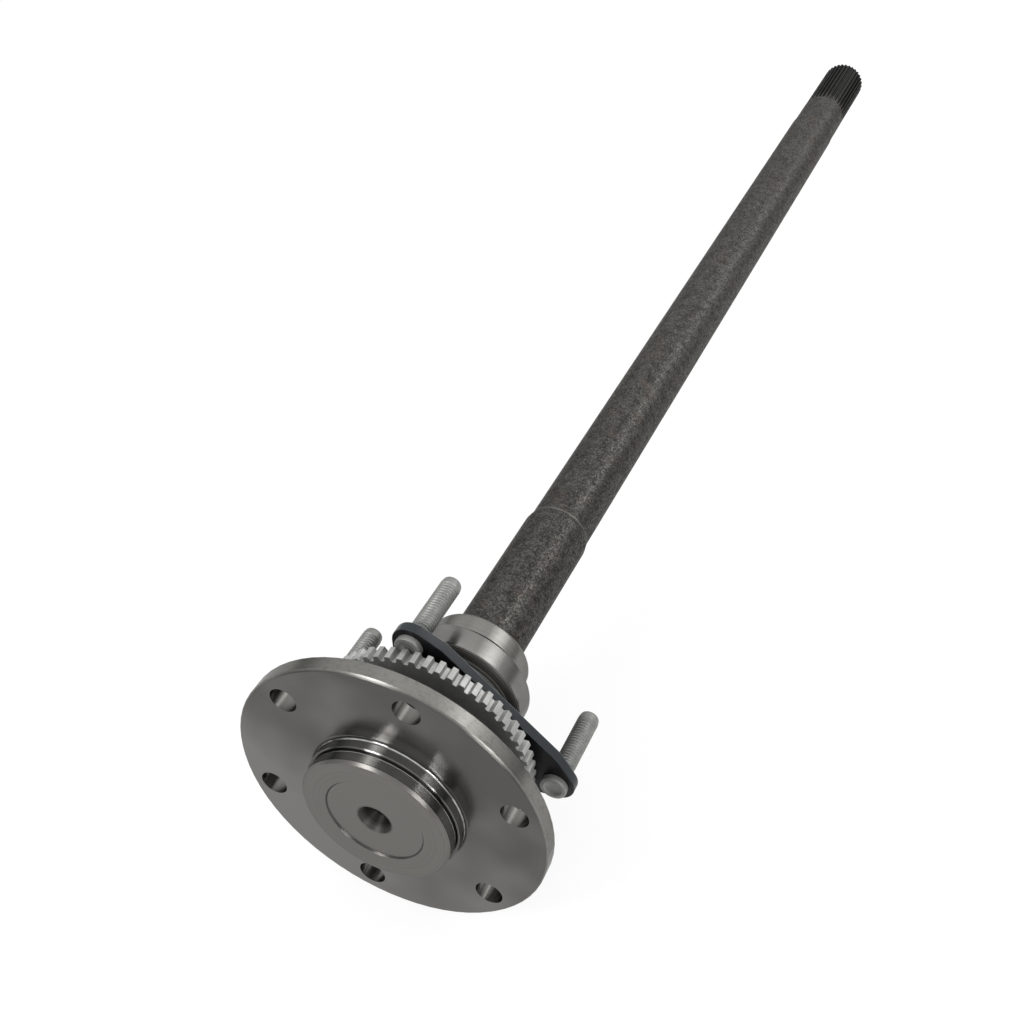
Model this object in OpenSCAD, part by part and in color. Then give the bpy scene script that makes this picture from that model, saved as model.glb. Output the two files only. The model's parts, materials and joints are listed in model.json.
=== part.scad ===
// Rear axle shaft of a light truck with its tone ring, shaft seal, tapered roller bearing,
// retaining collar and the loose retainer plate that bolts to the axle housing.
// The axle lies along +Y. The origin is the centre of the flange face that the wheel sits on,
// the splined end points to +Y and +Z is up. Axial places are measured from that face.

/* [Flange and pilot] */
// Diameter of the wheel flange
flange_d = 165.5; // [158:0.5:180]
// Thickness of the wheel flange
flange_t = 9.8; // [8:0.2:14]
// Chamfer around both flange edges
flange_chamfer = 1.2; // [0.4:0.1:2.5]
// Land between the wheel holes and the flange's edge
rim_land = 5.65; // [3:0.05:9]
// Number of wheel holes
wheel_hole_count = 6; // [4:1:8]
// Diameter of a wheel hole
wheel_hole_d = 14.5; // [10:0.1:17]
// Chamfer at the back mouth of a wheel hole
wheel_hole_chamfer = 0.7; // [0.2:0.1:1.5]
// Turn of the first wheel hole up from the X axis
wheel_turn = 18.8; // [0:0.1:60]
// Diameter of the pilot's outer wall, which centres the wheel
pilot_d = 79; // [70:0.1:80]
// Diameter of the pilot's inner wall, which centres the brake drum
drum_seat_d = 81.5; // [81:0.1:90]
// Height of the pilot over the flange face
pilot_h = 14.3; // [11:0.1:20]
// Height of the drum seat
drum_seat_h = 6.3; // [4:0.1:8]
// Width of the groove between the two walls
pilot_groove_w = 1.2; // [0.6:0.1:2]
// Depth of that groove under the outer wall
pilot_groove_depth = 0.5; // [0.2:0.1:1.5]
// Chamfer on the pilot's front edge
pilot_chamfer = 1.4; // [0.5:0.1:3]
// Fillet between pilot and flange face
pilot_fillet = 1.9; // [0.5:0.1:3]
// Diameter of the shallow recess in the pilot's face
recess_d = 52.5; // [40:0.5:60]
// Depth of that recess
recess_depth = 0.8; // [0.3:0.1:2]

/* [Centre holes] */
// Diameter of the drilled lathe centre
centre_d = 9; // [6:0.5:12]
// Mouth diameter of its countersink
centre_mouth_d = 18; // [14:0.5:20]
// Depth of the drilled hole under the countersink
centre_depth = 12; // [6:0.5:20]
// Diameter of the smaller centre in the splined end
end_centre_d = 5; // [3:0.5:8]
// Mouth diameter of its countersink
end_centre_mouth_d = 11; // [9:0.5:16]
// Angle between a countersink's wall and the axle
sink_angle = 30; // [25:1:45]
// Angle between a drill's tip and the axle
drill_angle = 59; // [45:1:70]

/* [Hub] */
// Hub diameter where it leaves the flange
hub_root_d = 100; // [90:1:110]
// Fillet between hub and flange back
hub_fillet = 5; // [2:0.5:8]
// Seat diameter of the tone ring
ring_seat_d = 80; // [70:0.5:86]
// Diameter of the seal journal
journal_d = 50; // [48.5:0.1:54]
// Clear length between hub shoulder and seal
seal_room = 18.4; // [16:0.1:24]
// Fillet at the foot of the hub shoulder
shoulder_fillet = 2.5; // [1:0.1:4]
// Chamfer at the edge of the hub shoulder
shoulder_chamfer = 1; // [0.3:0.1:2]
// Chamfer at the journal's edge beside the bearing
journal_chamfer = 0.8; // [0.3:0.1:1.5]

/* [Tone ring] */
// Axial place of the ring's front face
ring_front = 36.4; // [33:0.1:42]
// Width of the ring
ring_w = 7.5; // [5:0.1:9]
// How far the ring's back stands proud of the hub shoulder
ring_proud = 0.4; // [0.1:0.1:1]
// Diameter over the teeth
ring_tip_d = 116.2; // [112:0.1:120]
// Tooth height
ring_tooth_h = 2.85; // [1.5:0.05:4]
// Number of teeth
ring_teeth = 54; // [36:1:60]
// Share of the pitch that a tooth takes at its tip
ring_tip_share = 0.42; // [0.3:0.01:0.5]
// Share of the pitch that a tooth takes at its root
ring_root_share = 0.68; // [0.55:0.01:0.75]

/* [Retainer plate] */
// Thickness of the plate
plate_t = 5.7; // [4:0.1:8]
// Bolt spacing along the plate's long side
plate_bolt_long = 100.6; // [98:0.1:110]
// Bolt spacing across the plate
plate_bolt_short = 74.8; // [70:0.1:80]
// Radius of a corner ear
ear_r = 10; // [8.5:0.1:12]
// Width of the plate over its long sides
plate_w = 102; // [96:0.5:108]
// Length of the straight part of a long side
plate_side = 79; // [70:0.5:84]
// Length of the plate between the dips of its short ends
plate_l = 92; // [86:0.5:100]
// Length of the straight part of a short end
plate_end = 36; // [24:0.5:44]
// Bore of the plate
plate_bore_d = 64; // [60:0.5:65]
// Turn of the plate's long side up from the X axis
plate_turn = -40.5; // [-90:0.5:90]
// Side to which the loose plate hangs, from straight down towards +X
plate_lean = 38; // [-60:1:60]
// Gap between loose pieces that lean on each other
lean_gap = 0.3; // [0.1:0.05:0.6]

/* [Retainer bolts] */
// Diameter of a bolt
bolt_d = 11; // [9:0.1:12]
// Step of the bolt's pressed shoulder over its shank
press_step = 0.3; // [0.2:0.05:0.6]
// Length of the neck between shoulder and shank
neck_l = 1.2; // [0.8:0.1:2]
// Length of a bolt behind the plate
bolt_reach = 41.4; // [30:0.2:50]
// Diameter of a bolt head
head_d = 14.2; // [13:0.1:17]
// Thickness of a bolt head
head_t = 3.5; // [2.5:0.1:5]
// Diameter of the dish in the head's face
head_dish_d = 9.4; // [6:0.1:11]
// Depth of that dish
head_dish = 0.7; // [0.2:0.1:1.5]
// Corner radius of the head
head_round = 1.1; // [0.3:0.1:1.5]
// Diameter of the bolt's pilot tip
tip_d = 10.4; // [7:0.1:10.8]
// Length of the taper to the tip
tip_taper = 1.6; // [1:0.1:4]
// Rounding of the tip
tip_round = 2.2; // [0.5:0.1:3]

/* [Shaft seal] */
// Diameter over the seal's ribs
seal_d = 65.6; // [63:0.1:70]
// Width of the seal
seal_w = 9.2; // [8:0.1:12]
// Number of ribs around the outside
seal_ribs = 4; // [2:1:6]
// Height of a rib
seal_rib_h = 0.9; // [0.4:0.1:1.2]
// Thickness of the outer wall
seal_wall = 3.4; // [2.5:0.1:4.5]
// Thickness of the web between wall and lip
seal_web = 2.2; // [1.5:0.1:3]
// Share of a rib's pitch that lies before its foot
seal_rib_foot = 0.08; // [0.02:0.01:0.15]
// Share of a rib's pitch that lies before its top
seal_rib_top = 0.28; // [0.2:0.01:0.4]
// Thickness of the lip under its spring
lip_wall = 1.9; // [1.5:0.1:2.5]
// Thickness that the lip's back edge loses to its bevel
lip_bevel = 0.8; // [0.4:0.1:1.2]
// Distance of the lip's edge in front of its spring
lip_lead = 0.4; // [0.2:0.1:1]
// Depth of the hollow between the main lip and the dust lip
lip_hollow = 0.9; // [0.4:0.1:1.2]
// Distance of the dust lip's edge behind the seal's front
dust_lip_in = 0.5; // [0.3:0.1:1]
// Depth of the lead in front of the dust lip
dust_lip_lead = 0.3; // [0.1:0.1:0.8]
// Running clearance between lip and journal
lip_gap = 0.05; // [0.02:0.01:0.1]
// Outside diameter of the garter spring's coil
spring_d = 1.6; // [1.2:0.1:2]
// Distance of the garter spring behind the seal's front
spring_in = 6.1; // [5:0.1:6.4]
// Height of the spring's middle over the lip's wall
spring_lift = 0.3; // [0.1:0.1:0.5]
// Gap around the spring in its groove
spring_gap = 0.05; // [0.02:0.01:0.1]
// Gap between the seal and the bearing cup
seal_cup_gap = 0.6; // [0.3:0.1:2]

/* [Bearing] */
// Bore of the bearing
bearing_bore = 41.275; // [40:0.005:42]
// Outside diameter of the cup
cup_d = 73.4; // [72:0.1:78]
// Width of the cup
cup_w = 14.7; // [14:0.1:17]
// Width from the cup's front face to the cone's back face
bearing_w = 19.6; // [19:0.1:22]
// Corner radius of the cup
cup_round = 1.8; // [0.5:0.1:2.5]
// How far the cone's front face stands before the cup's
cone_lead = 0.3; // [0.1:0.1:0.5]
// Chamfer of the cone's edges
cone_chamfer = 0.6; // [0.3:0.1:1]
// Number of rollers
roller_count = 18; // [14:1:18]
// Diameter of a roller at mid length
roller_d = 7.8; // [7:0.1:8.2]
// Length of a roller
roller_l = 12.2; // [11:0.1:12.4]
// Angle between a roller's axis and the axle
roller_angle = 13.7; // [12:0.1:15]
// Half the cone angle of a roller
roller_taper = 1.9; // [1:0.1:2.2]
// Distance of the rollers' middle behind the cup's middle
roller_shift = 0.6; // [0.3:0.1:0.9]
// Gap between a roller and each raceway
race_gap = 0.15; // [0.05:0.05:0.3]
// Thickness of the cage
cage_t = 1.2; // [0.8:0.1:1.5]
// Height of the cage over the rollers' axes
cage_lift = 1.4; // [1:0.1:1.8]
// Distance of the cage's front behind the cup's front
cage_inset = 0.3; // [0.1:0.1:0.6]
// How far the cage reaches behind the cup
cage_over = 1.9; // [1.5:0.1:2.2]
// Gap between the cage's flange and the cone
cage_flange_gap = 1; // [0.5:0.1:1.5]
// Gap around a roller in its pocket
pocket_gap = 0.25; // [0.15:0.05:0.4]
// Height of the rib that guides the rollers' large ends
rib_h = 1.9; // [1:0.1:2.5]
// Height of the rib at their small ends
small_rib_h = 0.9; // [0.5:0.1:1.2]
// Gap between a roller's end and its rib
rib_gap = 0.2; // [0.1:0.05:0.3]

/* [Collar] */
// Outside diameter of the retaining collar
collar_d = 57; // [52:0.5:62]
// Length of the collar
collar_l = 13.2; // [10:0.1:20]
// Rounding of the collar's back edge
collar_round = 3; // [1:0.1:4]
// Chamfer of the collar's front edge
collar_chamfer = 1.2; // [0.5:0.1:2]
// Chamfer at the back of the collar's bore
collar_bore_chamfer = 0.8; // [0.3:0.1:1.5]
// Length of the ground seat behind the collar
seat_over = 1.5; // [0.5:0.1:4]

/* [Shaft and spline] */
// Diameter of the shaft behind the bearing
thick_d = 38.8; // [37.5:0.1:40]
// Diameter of the long middle stretch
shaft_d = 36.2; // [35:0.1:37]
// Axial place where the thick stretch ends
thick_end = 204; // [160:1:300]
// Length of the taper between the two
shaft_taper = 8; // [4:0.5:20]
// Diameter of the neck before the spline
end_neck_d = 35.1; // [34.9:0.1:36]
// Length of that neck
end_neck_l = 40; // [20:1:60]
// Length of the taper to that neck
end_neck_taper = 5; // [2:0.5:12]
// Axial place where the spline starts
spline_start = 818; // [700:1:900]
// Length of the spline
spline_l = 71; // [50:1:100]
// Diameter over the spline
spline_d = 34.8; // [33:0.1:35]
// Depth of the spline grooves
spline_depth = 1.6; // [1:0.1:2]
// Number of spline teeth
spline_teeth = 32; // [24:1:36]
// Chamfer at the spline's end
spline_chamfer = 2; // [1:0.1:3]
// Length over which the grooves run out
spline_runout = 7; // [3:0.5:12]
// Share of the pitch that a spline tooth takes at its tip
spline_tip_share = 0.34; // [0.25:0.01:0.4]
// Share of the pitch that a spline tooth takes at its root
spline_root_share = 0.62; // [0.5:0.01:0.7]

/* [Hidden] */
$fn = 96;
// Overlap that lets cuts pass right through a face
eps = 0.01;

// Bolt circle of the wheel holes
wheel_pcd = flange_d - wheel_hole_d - 2 * rim_land;

// Axial places along the axle
ring_back = ring_front + ring_w;
shoulder = ring_back - ring_proud;
head_front = ring_back + lean_gap;
plate_front = head_front + head_t;
plate_back = plate_front + plate_t;
seal_front = shoulder + seal_room;
seal_back = seal_front + seal_w;
cup_front = seal_back + seal_cup_gap;
cup_back = cup_front + cup_w;
cone_front = cup_front - cone_lead;
cone_back = cup_front + bearing_w;
collar_back = cone_back + collar_l;
seat_end = collar_back + seat_over;
neck_start = spline_start - end_neck_l;
axle_end = spline_start + spline_l;

// The loose plate hangs with its bore on the journal
plate_slack = (plate_bore_d - journal_d) / 2 - lean_gap;
press_d = bolt_d + 2 * press_step;

// Seal: lip, spring seat and ribs
seal_r = seal_d / 2;
lip_r = journal_d / 2 + lip_gap;
lip_wall_r = lip_r + lip_wall;
spring_r = lip_wall_r + spring_lift;
spring_place = seal_front + spring_in;
lip_back = spring_place + spring_d;
spring_seat = spring_d / 2 + spring_gap;

// Bearing: roller axes, raceways and cage follow one cone with its apex on the axle
roller_mid = cup_front + cup_w / 2 + roller_shift;
pitch_r = roller_d / 2 / tan(roller_taper) * sin(roller_angle);
cone_angle = roller_angle - roller_taper;
cup_angle = roller_angle + roller_taper;
race_h = roller_d / 2 * cos(roller_taper) + race_gap;
cage_front = cup_front + cage_inset;
cage_back = cup_back + cage_over;

// Radius at axial place s of a line that passes h over the roller centres and leans by an angle
function line_r(s, h, angle) = pitch_r + h / cos(angle) + (s - roller_mid) * tan(angle);

// Axial place at radius r of a plane square to the roller axes, at a distance along them
function plane_s(r, along) = roller_mid + along / cos(roller_angle) - (r - pitch_r) * tan(roller_angle);

// Guide ribs at both ends of the cone's raceway
rib_along = roller_l / 2 + rib_gap;
race_small = plane_s(line_r(roller_mid - rib_along, -race_h, cone_angle), -rib_along);
race_large = plane_s(line_r(roller_mid + rib_along, -race_h, cone_angle), rib_along);
small_rib_r = line_r(race_small, -race_h, cone_angle) + small_rib_h;
large_rib_r = line_r(race_large, -race_h, cone_angle) + rib_h;
cage_flange_r = small_rib_r + cage_flange_gap;

// Lays a shape that was drawn about Z along the axle
module along_axle() {
    rotate([-90, 0, 0]) children();
}

// Turns a shape about the axle, up from the X axis
module turned(angle) {
    rotate([0, 0, -angle]) children();
}

// Revolves a half section of [radius, axial place] points
module revolved(points) {
    rotate_extrude() polygon(points);
}

// Points of a quarter round, from one angle to the next about a centre
function arc(centre, r, from, to, steps = 6) =
    [for (i = [0:steps])
        let (angle = from + (to - from) * i / steps)
        centre + r * [cos(angle), sin(angle)]];

// Toothed outline: tooth tips and roots take given shares of the pitch
module toothed(count, tip_r, root_r, tip_share, root_share) {
    pitch = 360 / count;
    polygon([for (i = [0:count - 1], k = [[root_r, -root_share], [tip_r, -tip_share],
                                         [tip_r, tip_share], [root_r, root_share]])
        k[0] * [cos((i + k[1] / 2) * pitch), sin((i + k[1] / 2) * pitch)]]);
}

// Wheel flange, stepped pilot, hub, journal, bearing seat and shaft as one turned section
module shaft_section() {
    pilot_r = pilot_d / 2;
    seat_r = drum_seat_d / 2;
    flange_r = flange_d / 2;
    hub_r = hub_root_d / 2;
    ring_r = ring_seat_d / 2;
    journal_r = journal_d / 2;
    revolved(concat(
        [[0, recess_depth - pilot_h],
         [recess_d / 2 - recess_depth, recess_depth - pilot_h],
         [recess_d / 2, -pilot_h],
         [pilot_r - pilot_chamfer, -pilot_h],
         [pilot_r, pilot_chamfer - pilot_h],
         [pilot_r, -drum_seat_h - pilot_groove_w],
         [pilot_r - pilot_groove_depth, -drum_seat_h - pilot_groove_w],
         [pilot_r - pilot_groove_depth, -drum_seat_h],
         [seat_r - pilot_groove_depth, -drum_seat_h],
         [seat_r, pilot_groove_depth - drum_seat_h]],
        arc([seat_r + pilot_fillet, -pilot_fillet], pilot_fillet, 180, 90),
        [[flange_r - flange_chamfer, 0],
         [flange_r, flange_chamfer],
         [flange_r, flange_t - flange_chamfer],
         [flange_r - flange_chamfer, flange_t]],
        arc([hub_r + hub_fillet, flange_t + hub_fillet], hub_fillet, 270, 180),
        [[ring_r, ring_front],
         [ring_r, shoulder - shoulder_chamfer],
         [ring_r - shoulder_chamfer, shoulder]],
        arc([journal_r + shoulder_fillet, shoulder + shoulder_fillet], shoulder_fillet, 270, 180),
        [[journal_r, cone_front - journal_chamfer],
         [journal_r - journal_chamfer, cone_front],
         [bearing_bore / 2, cone_front],
         [bearing_bore / 2, seat_end],
         [thick_d / 2, seat_end + (bearing_bore - thick_d) / 2],
         [thick_d / 2, thick_end],
         [shaft_d / 2, thick_end + shaft_taper],
         [shaft_d / 2, neck_start - end_neck_taper],
         [end_neck_d / 2, neck_start],
         [end_neck_d / 2, spline_start - spline_runout],
         [spline_d / 2 - spline_depth, spline_start],
         [spline_d / 2 - spline_depth, axle_end],
         [0, axle_end]]));
}

// Splined end: straight teeth, chamfered at the tip, with grooves that run out on a cone
module spline() {
    core_r = spline_d / 2 - spline_depth;
    intersection() {
        translate([0, 0, spline_start - spline_runout])
            linear_extrude(spline_l + spline_runout)
                toothed(spline_teeth, spline_d / 2, core_r, spline_tip_share, spline_root_share);
        revolved([[0, spline_start - spline_runout - eps],
                  [spline_d / 2 + eps, spline_start - spline_runout - eps],
                  [spline_d / 2 + eps, axle_end - spline_chamfer],
                  [spline_d / 2 - spline_chamfer, axle_end],
                  [0, axle_end]]);
    }
}

// Lathe centre: a drilled hole with a countersink, open towards -Z
module centre_hole(drill_d, mouth_d) {
    sink = (mouth_d - drill_d) / 2 / tan(sink_angle);
    drill_tip = drill_d / 2 / tan(drill_angle);
    revolved([[0, -eps],
              [mouth_d / 2 + eps * tan(sink_angle), -eps],
              [drill_d / 2, sink],
              [drill_d / 2, sink + centre_depth],
              [0, sink + centre_depth + drill_tip]]);
}

// Wheel hole, with a chamfer at its back mouth
module wheel_hole() {
    r = wheel_hole_d / 2;
    c = wheel_hole_chamfer;
    revolved([[0, -eps],
              [r, -eps],
              [r, flange_t - c],
              [r + c + eps, flange_t + eps],
              [0, flange_t + eps]]);
}

module axle_shaft() {
    color("#6f6e6c") along_axle() difference() {
        union() {
            shaft_section();
            spline();
        }
        for (i = [0:wheel_hole_count - 1])
            turned(wheel_turn + 360 / wheel_hole_count * i)
                translate([wheel_pcd / 2, 0, 0]) wheel_hole();
        translate([0, 0, recess_depth - pilot_h]) centre_hole(centre_d, centre_mouth_d);
        translate([0, 0, axle_end]) rotate([180, 0, 0]) centre_hole(end_centre_d, end_centre_mouth_d);
    }
}

module tone_ring() {
    color("#b4b4b0") along_axle() translate([0, 0, ring_front]) difference() {
        linear_extrude(ring_w)
            toothed(ring_teeth, ring_tip_d / 2, ring_tip_d / 2 - ring_tooth_h,
                    ring_tip_share, ring_root_share);
        translate([0, 0, -eps]) cylinder(d = ring_seat_d, h = ring_w + 2 * eps);
    }
}

// Places the loose plate and what it carries, hung on the journal
module hung() {
    translate(plate_slack * [sin(plate_lean), 0, -cos(plate_lean)])
        along_axle() turned(plate_turn) children();
}

// Repeats a shape at the four bolt places of the plate
module at_bolts() {
    for (x = [-1, 1], y = [-1, 1])
        translate([x * plate_bolt_long / 2, y * plate_bolt_short / 2, 0]) children();
}

// Point where a line from a corner of the plate meets an ear's round, on the side that the sign gives
function ear_touch(ear, corner, side) =
    let (reach = corner - ear,
         angle = atan2(reach[1], reach[0]) + side * acos(ear_r / norm(reach)))
    ear + ear_r * [cos(angle), sin(angle)];

// One quarter of the plate's outline, from its short end round the ear to its long side
function plate_quarter() =
    let (ear = [plate_bolt_long / 2, plate_bolt_short / 2],
         end_corner = [plate_l / 2, plate_end / 2],
         side_corner = [plate_side / 2, plate_w / 2])
    [end_corner, ear_touch(ear, end_corner, 1), ear, ear_touch(ear, side_corner, -1), side_corner];

// The same points in the quarter with the given signs
function signed(points, x, y) = [for (p = points) [p[0] * x, p[1] * y]];
function reversed(points) = [for (i = [len(points) - 1:-1:0]) points[i]];

module plate_outline() {
    quarter = plate_quarter();
    polygon(concat(quarter, reversed(signed(quarter, -1, 1)), signed(quarter, -1, -1),
                   reversed(signed(quarter, 1, -1))));
    at_bolts() circle(r = ear_r);
}

module retainer_plate() {
    color("#1a1d20") hung() translate([0, 0, plate_front]) difference() {
        linear_extrude(plate_t) plate_outline();
        translate([0, 0, -eps]) cylinder(d = plate_bore_d, h = plate_t + 2 * eps);
        at_bolts() translate([0, 0, -eps]) cylinder(d = press_d, h = plate_t + 2 * eps);
    }
}

// One bolt: dished round head in front of the plate, shoulder pressed into it, shank and tip behind
module retainer_bolt() {
    r = bolt_d / 2;
    tip = plate_back + bolt_reach;
    revolved(concat(
        [[0, head_front + head_dish],
         [head_dish_d / 2 - head_dish, head_front + head_dish],
         [head_dish_d / 2, head_front]],
        arc([head_d / 2 - head_round, head_front + head_round], head_round, 270, 360),
        [[head_d / 2, plate_front],
         [press_d / 2, plate_front],
         [press_d / 2, plate_back],
         [r, plate_back + neck_l],
         [r, tip - tip_taper - tip_round],
         [tip_d / 2, tip - tip_round]],
        arc([tip_d / 2 - tip_round, tip - tip_round], tip_round, 0, 90),
        [[0, tip]]));
}

module retainer_bolts() {
    color("#8d8f8c") hung() at_bolts() retainer_bolt();
}

// Rubber seal: ribbed outer wall, web and sprung lip, moulded as one piece
module seal_body() {
    rib_pitch = seal_w / seal_ribs;
    valley_r = seal_r - seal_rib_h;
    wall_r = seal_r - seal_wall;
    seat_angle = acos((lip_wall_r - spring_r) / spring_seat);
    ribs = [for (i = [0:seal_ribs - 1], k = [[valley_r, seal_rib_foot], [seal_r, seal_rib_top],
                                             [seal_r, 1 - seal_rib_top], [valley_r, 1 - seal_rib_foot]])
        [k[0], seal_front + (i + k[1]) * rib_pitch]];
    color("#161616") along_axle() revolved(concat(
        [[valley_r, seal_front]],
        ribs,
        [[valley_r, seal_back],
         [wall_r, seal_back],
         [wall_r, seal_front + seal_web],
         [lip_wall_r, seal_front + seal_web]],
        arc([spring_r, spring_place], spring_seat, 360 - seat_angle, seat_angle),
        [[lip_wall_r, lip_back],
         [lip_wall_r - lip_bevel, lip_back],
         [lip_r, spring_place - lip_lead],
         [lip_r + lip_hollow, seal_front + seal_web],
         [lip_r, seal_front + dust_lip_in],
         [lip_r + dust_lip_lead, seal_front]]));
}

// Garter spring around the lip, drawn as its coil's outer shape
module seal_spring() {
    color("#a9a9a6") along_axle() translate([0, 0, spring_place])
        rotate_extrude() translate([spring_r, 0]) circle(d = spring_d, $fn = 32);
}

// Inner ring: tapered raceway between a low front rib and the rib that guides the large ends
module bearing_cone() {
    color("#9a9997") along_axle() revolved([
        [bearing_bore / 2, cone_front],
        [small_rib_r - cone_chamfer, cone_front],
        [small_rib_r, cone_front + cone_chamfer],
        [small_rib_r, plane_s(small_rib_r, -rib_along)],
        [line_r(race_small, -race_h, cone_angle), race_small],
        [line_r(race_large, -race_h, cone_angle), race_large],
        [large_rib_r, plane_s(large_rib_r, rib_along)],
        [large_rib_r, cone_back - cone_chamfer],
        [large_rib_r - cone_chamfer, cone_back],
        [bearing_bore / 2, cone_back]]);
}

// Outer ring: round corners outside, tapered raceway inside that opens towards the spline
module bearing_cup() {
    r = cup_d / 2;
    color("#a5a4a2") along_axle() revolved(concat(
        [[line_r(cup_front, race_h, cup_angle), cup_front]],
        arc([r - cup_round, cup_front + cup_round], cup_round, 270, 360),
        arc([r - cup_round, cup_back - cup_round], cup_round, 0, 90),
        [[line_r(cup_back, race_h, cup_angle), cup_back]]));
}

// Puts a shape, drawn about its own Z axis with its middle at 0, in the place of one roller
module at_roller(index) {
    turned(360 / roller_count * index)
        translate([pitch_r, 0, roller_mid]) rotate([0, roller_angle, 0]) children();
}

// Tapered roller, larger by a gap all round where it cuts a pocket
module roller_shape(gap = 0) {
    half = roller_l / 2 + gap;
    grow = half * tan(roller_taper);
    translate([0, 0, -half])
        cylinder(h = 2 * half, r1 = roller_d / 2 + gap - grow, r2 = roller_d / 2 + gap + grow);
}

module bearing_roller(index) {
    color("#c4c3c1") along_axle() at_roller(index) roller_shape();
}

// Pressed cage: a cone with one pocket a roller and a flange in front of their small ends
module bearing_cage() {
    low = cage_lift;
    high = cage_lift + cage_t;
    color("#7f7d79") along_axle() difference() {
        revolved([
            [cage_flange_r, cage_front],
            [line_r(cage_front, high, roller_angle), cage_front],
            [line_r(cage_back, high, roller_angle), cage_back],
            [line_r(cage_back, low, roller_angle), cage_back],
            [line_r(cage_front + cage_t, low, roller_angle), cage_front + cage_t],
            [cage_flange_r, cage_front + cage_t]]);
        for (i = [1:roller_count]) at_roller(i) roller_shape(pocket_gap);
    }
}

// Press-on collar that holds the bearing against the journal's shoulder
module retaining_collar() {
    r = collar_d / 2;
    color("#b0afad") along_axle() revolved(concat(
        [[bearing_bore / 2, cone_back],
         [r - collar_chamfer, cone_back],
         [r, cone_back + collar_chamfer]],
        arc([r - collar_round, collar_back - collar_round], collar_round, 0, 90),
        [[bearing_bore / 2 + collar_bore_chamfer, collar_back],
         [bearing_bore / 2, collar_back - collar_bore_chamfer]]));
}

axle_shaft();
tone_ring();
retainer_plate();
retainer_bolts();
seal_body();
seal_spring();
bearing_cone();
bearing_cup();
bearing_cage();
retaining_collar();
for (i = [1:roller_count])
    bearing_roller(i);
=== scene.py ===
"""Looks of a rear axle shaft: wheel flange, sensor ring, retainer plate, seal, bearing, collar and spline.

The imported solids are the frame, and most of them keep their mesh and only get a finish. The sensor ring and the
retainer plate get broken edges, the retainer bolts a rolled thread and the seal a wound garter spring.
The axle lies along +Y with the wheel face at y = 0. Lengths are metres unless a name ends in _mm.
"""

import json
import logging
import math
from dataclasses import dataclass
from enum import Enum
from typing import Any

import bmesh
import bpy
from mathutils import Matrix, Vector


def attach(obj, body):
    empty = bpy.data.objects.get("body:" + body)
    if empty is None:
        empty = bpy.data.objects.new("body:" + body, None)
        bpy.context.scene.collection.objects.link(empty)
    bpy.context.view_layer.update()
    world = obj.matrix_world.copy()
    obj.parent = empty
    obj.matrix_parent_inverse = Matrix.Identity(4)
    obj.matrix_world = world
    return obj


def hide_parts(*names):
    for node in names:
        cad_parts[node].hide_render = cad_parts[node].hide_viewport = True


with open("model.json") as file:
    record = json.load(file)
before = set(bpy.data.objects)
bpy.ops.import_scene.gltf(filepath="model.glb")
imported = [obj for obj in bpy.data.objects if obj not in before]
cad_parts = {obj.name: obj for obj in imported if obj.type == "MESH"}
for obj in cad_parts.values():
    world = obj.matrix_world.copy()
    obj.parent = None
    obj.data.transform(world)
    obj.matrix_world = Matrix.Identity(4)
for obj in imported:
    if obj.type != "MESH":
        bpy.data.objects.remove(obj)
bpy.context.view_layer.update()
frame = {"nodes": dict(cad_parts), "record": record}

log = logging.getLogger("axle_shaft")

MM = 0.001
MERGE = 1e-6
FLOOR_Z = -0.0829
# Most values of a noise texture lie in this range.
NOISE_SPAN = {"From Min": 0.3, "From Max": 0.7}

Node = bpy.types.Node
Socket = bpy.types.NodeSocket
Tree = bpy.types.NodeTree
Span = tuple[float, float]
Place = tuple[float, float, float]
Profile = list[tuple[float, float]]


class Body(Enum):
    """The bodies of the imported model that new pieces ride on."""

    AXLE = "axle"
    SEAL = "seal"
    RETAINER = "retainer"


class Slot(Enum):
    """Names of the record's material slots."""

    RING = "ring_steel"
    PLATE = "plate_coating"
    BOLT = "bolt_zinc"
    SPRING = "spring_steel"


def linear(code: str) -> tuple[float, float, float, float]:
    """Turns an sRGB colour into the linear values that a shader takes.

    Args:
        code: The colour as a hash and six hex digits.

    Returns:
        Linear red, green and blue, with an alpha of one.
    """
    shares = (int(code[i:i + 2], 16) / 255 for i in (1, 3, 5))
    red, green, blue = (s / 12.92 if s <= 0.04045 else ((s + 0.055) / 1.055) ** 2.4 for s in shares)
    return red, green, blue, 1.0


def per_metre(size_mm: float) -> float:
    """Gives the noise scale whose features are size_mm across."""
    return 1.0 / (size_mm * MM)


def fill(tree: Tree, node: Node, inputs: dict[str | int, Any]) -> None:
    """Sets or links a node's inputs.

    Args:
        tree: The node tree that holds the node.
        node: The node whose inputs are filled.
        inputs: A value, a node's output or a node for each named or numbered input.
    """
    for key, value in inputs.items():
        if isinstance(value, Node):
            value = value.outputs[0]
        if isinstance(value, Socket):
            tree.links.new(value, node.inputs[key])
        else:
            node.inputs[key].default_value = value


def add(tree: Tree, kind: str, inputs: dict[str | int, Any] | None = None, **settings: Any) -> Node:
    """Adds one node with its settings, values and links.

    Args:
        tree: The node tree that takes the node.
        kind: The node's type, without its ShaderNode prefix.
        inputs: What fill takes.
        settings: Properties of the node, and stops as (place, hex colour) pairs for a colour ramp.

    Returns:
        The new node.
    """
    node = tree.nodes.new("ShaderNode" + kind)
    for key, value in settings.items():
        if key == "stops":
            for i, (place, code) in enumerate(value):
                stop = node.color_ramp.elements[i] if i < 2 else node.color_ramp.elements.new(place)
                stop.position, stop.color = place, linear(code)
        else:
            setattr(node, key, value)
    fill(tree, node, inputs or {})
    return node


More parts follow.
